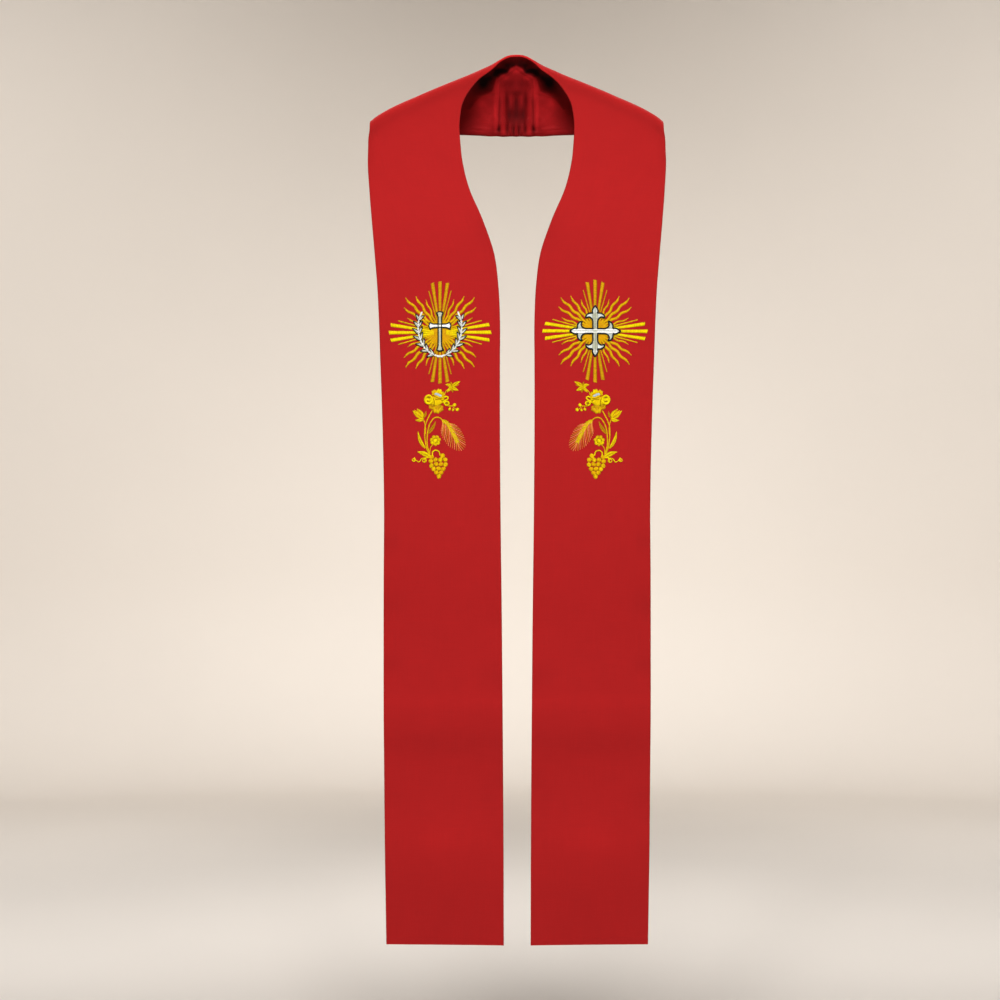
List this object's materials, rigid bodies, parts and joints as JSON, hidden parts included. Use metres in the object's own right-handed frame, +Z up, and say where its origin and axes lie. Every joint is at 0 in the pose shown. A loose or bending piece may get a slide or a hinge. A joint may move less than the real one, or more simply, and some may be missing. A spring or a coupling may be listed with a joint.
{
  "type": "clerical stole",
  "caption": "Worn lined stole: a band of cloth round the neck and over both shoulders, with two long straight fronts that hang side by side, embroidered at the chest.",
  "frame": {"origin": "middle of the neck opening on the wearer's centre line, level with the shoulder points and the lower edge at the centre back", "axes": "+Z up; -Y the way the wearer faces; -X towards the wearer's right hand"},
  "size_m": [0.4152, 0.2297, 1.2435],
  "materials": {
    "outer_cloth": "matte",
    "lining": "satin",
    "gold_stitch": "satin",
    "silver_stitch": "satin"
  },
  "bodies": {
    "root": {"outer_right": "outer_cloth", "outer_left": "outer_cloth", "lining_right": "lining", "lining_left": "lining", "sunburst_right": "gold_stitch", "sunburst_left": "gold_stitch", "emblem_right": "silver_stitch", "emblem_left": "silver_stitch", "sprig_right": "gold_stitch", "sprig_left": "gold_stitch"}
  },
  "joints": []
}
